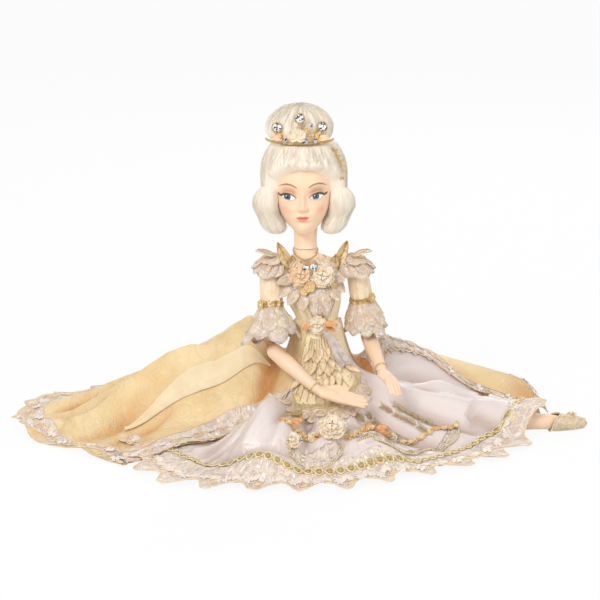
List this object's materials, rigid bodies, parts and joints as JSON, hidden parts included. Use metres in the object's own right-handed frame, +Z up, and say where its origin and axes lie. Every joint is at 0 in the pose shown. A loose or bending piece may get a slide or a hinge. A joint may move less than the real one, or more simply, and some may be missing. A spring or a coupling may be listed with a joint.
{
  "type": "seated lady doll",
  "caption": "Seated lady doll with resin head and limbs, powdered updo with tiara, and a spread court gown of satin, brocade, lace and gold trim.",
  "frame": {"origin": "centre of the flat underside of the weighted seat, on the surface the doll sits on", "axes": "+Z up; the doll faces -Y; +X is the doll's left, towards its outstretched foot"},
  "size_m": [0.7178, 0.4336, 0.4123],
  "materials": {
    "satin": "satin weave with a soft sheen",
    "brocade": "golden cream brocade with a raised tone-on-tone figure",
    "lace": "corded embroidered lace",
    "resin_skin": "painted satin resin",
    "mohair": "brushed matt fibre",
    "gold_trim": "satin metallic thread and beads",
    "crystal": "clear faceted",
    "padding": "plain cotton",
    "peach_silk": "folded silk ribbon",
    "cream_silk": "folded silk ribbon",
    "shoe_cloth": "beaded cloth",
    "wire": "bare drawn wire",
    "peg_wood": "bare turned wood"
  },
  "bodies": {
    "root": {"seat_weight": "padding", "torso_body": "padding", "shoulder_plate": "resin_skin", "neck_peg": "peg_wood", "arm_wire": "wire", "thigh_right": "padding", "thigh_left": "padding", "petticoat": "padding", "underskirt": "satin", "hem_lace": "lace", "hem_braid": "gold_trim", "overskirt_left": "brocade", "overskirt_right": "brocade", "overskirt_back": "brocade", "train_lace_left": "lace", "train_lace_right": "lace", "front_lace_left": "lace", "front_lace_right": "lace", "apron": "brocade", "apron_bead_edge": "gold_trim", "apron_lace": "lace", "bodice": "satin", "bodice_lace_front": "lace", "necklace": "gold_trim", "collar_lace_right": "lace", "collar_lace_left": "lace", "collar_leaf_right": "gold_trim", "collar_leaf_left": "gold_trim", "rose_peach": "peach_silk", "rose_cream": "cream_silk", "waist_rose": "cream_silk", "skirt_garland": "gold_trim", "garland_rose": "cream_silk"},
    "head": {"head": "resin_skin", "hair_front": "mohair", "hair_bun": "mohair", "side_curl_right": "mohair", "side_curl_left": "mohair", "tiara_band": "gold_trim", "tiara_stone_right": "crystal", "tiara_stone_middle": "crystal", "tiara_stone_left": "crystal", "tiara_flower": "cream_silk", "hair_leaf_spray": "gold_trim"},
    "upper_arm_right": {"upper_arm_right": "padding", "sleeve_right": "satin", "sleeve_lace_right": "lace"},
    "forearm_right": {"forearm_right": "resin_skin", "bracelet_right": "gold_trim"},
    "hand_right": {"hand_right": "resin_skin"},
    "leg_right": {"lower_leg_right": "resin_skin", "shoe_right": "shoe_cloth"},
    "upper_arm_left": {"upper_arm_left": "padding", "sleeve_left": "satin", "sleeve_lace_left": "lace"},
    "forearm_left": {"forearm_left": "resin_skin", "bracelet_left": "gold_trim"},
    "hand_left": {"hand_left": "resin_skin"},
    "leg_left": {"lower_leg_left": "resin_skin", "shoe_left": "shoe_cloth"}
  },
  "joints": [
    {"name": "head_turn", "type": "hinge", "parent": "root", "child": "head", "pos_m": [-0.015, -0.005, 0.24], "axis": [0, 0, 1], "range_deg": [-35, 35]},
    {"name": "shoulder_right", "type": "hinge", "parent": "root", "child": "upper_arm_right", "pos_m": [-0.057, 0, 0.213], "axis": [-1, 0, 0], "range_deg": [0, 60], "deforming": ["collar_lace_right"]},
    {"name": "elbow_right", "type": "hinge", "parent": "upper_arm_right", "child": "forearm_right", "pos_m": [-0.054, -0.034, 0.121], "axis": [-0.5088, -0.8128, 0.2838], "range_deg": [0, 45], "deforming": ["sleeve_lace_right"]},
    {"name": "wrist_right", "type": "hinge", "parent": "forearm_right", "child": "hand_right", "pos_m": [0.001, -0.081, 0.085], "axis": [0.6806, -0.5816, -0.4455], "range_deg": [0, 35]},
    {"name": "shoulder_left", "type": "hinge", "parent": "root", "child": "upper_arm_left", "pos_m": [0.046, 0, 0.213], "axis": [-1, 0, 0], "range_deg": [0, 60], "deforming": ["collar_lace_left"]},
    {"name": "elbow_left", "type": "hinge", "parent": "upper_arm_left", "child": "forearm_left", "pos_m": [0.06, 0.006, 0.129], "axis": [-0.9681, -0.18, -0.1742], "range_deg": [0, 30], "deforming": ["sleeve_lace_left"]},
    {"name": "wrist_left", "type": "hinge", "parent": "forearm_left", "child": "hand_left", "pos_m": [0.076, -0.052, 0.1], "axis": [0.2396, -0.8684, -0.4342], "range_deg": [-10, 30]},
    {"name": "leg_right_turn", "type": "hinge", "parent": "root", "child": "leg_right", "pos_m": [-0.06, -0.09, 0.025], "axis": [0.9718, -0.216, -0.0945], "range_deg": [-20, 20]},
    {"name": "leg_left_turn", "type": "hinge", "parent": "root", "child": "leg_left", "pos_m": [0.14, 0, 0.026], "axis": [0.9961, 0.0623, -0.0623], "range_deg": [-20, 20]}
  ]
}
